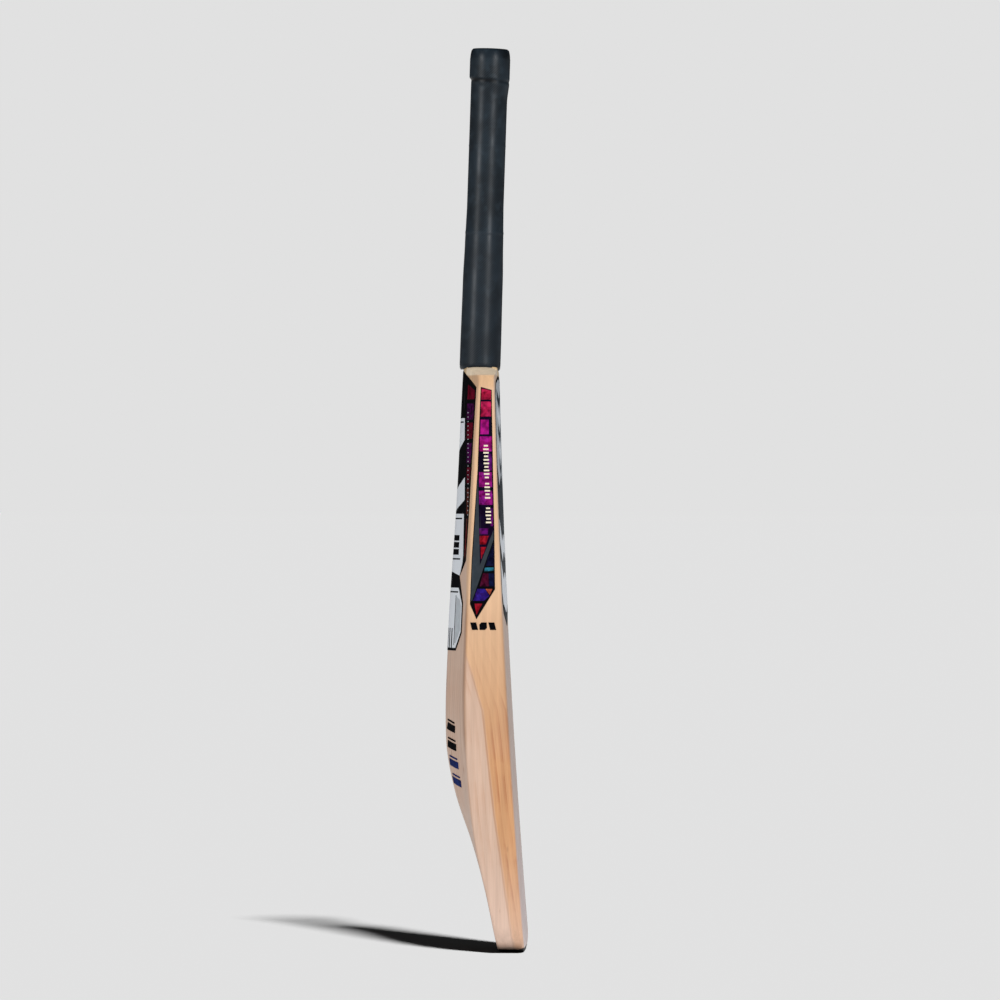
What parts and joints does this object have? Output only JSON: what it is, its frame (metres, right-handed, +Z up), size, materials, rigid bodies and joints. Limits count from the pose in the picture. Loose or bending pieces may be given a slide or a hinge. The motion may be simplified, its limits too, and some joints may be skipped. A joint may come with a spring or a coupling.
{
  "type": "cricket bat",
  "caption": "Cricket bat: willow blade with a spliced cane handle, twine binding, rubber grip, toe guard, stickers and transfers.",
  "frame": {"origin": "the middle of the toe's flat underside", "axes": "+Z up the bat from the toe to the handle's end; -Y is the side of the hitting face and +Y the side of the spine; X across the blade, which is the same on both sides of X = 0"},
  "size_m": [0.1086, 0.0767, 0.8503],
  "materials": {
    "willow": "pressed and polished willow, sanded smooth, with a thin coat of oil",
    "cane": "sawn and glued cane",
    "spring_rubber": "flat sheet rubber",
    "twine": "waxed thread, wound tight",
    "grip_rubber": "moulded rubber with a fine raised diamond pattern, satin",
    "guard_rubber": "smooth black rubber",
    "sticker": "printed vinyl with a clear gloss film",
    "transfer_ink": "ink transfer, satin"
  },
  "bodies": {
    "root": {"blade": "willow", "toe_guard": "guard_rubber", "cane_front_1": "cane", "cane_front_2": "cane", "cane_front_3": "cane", "cane_front_4": "cane", "cane_middle_1": "cane", "cane_middle_2": "cane", "cane_middle_3": "cane", "cane_middle_4": "cane", "cane_back_1": "cane", "cane_back_2": "cane", "cane_back_3": "cane", "cane_back_4": "cane", "spring_rubber_front": "spring_rubber", "spring_rubber_back": "spring_rubber", "handle_binding": "twine", "grip": "grip_rubber", "face_sticker": "sticker", "back_sticker": "sticker", "edge_sticker_left": "sticker", "edge_sticker_right": "sticker", "back_transfer": "transfer_ink", "edge_transfer_left": "transfer_ink", "edge_transfer_right": "transfer_ink"}
  },
  "joints": []
}
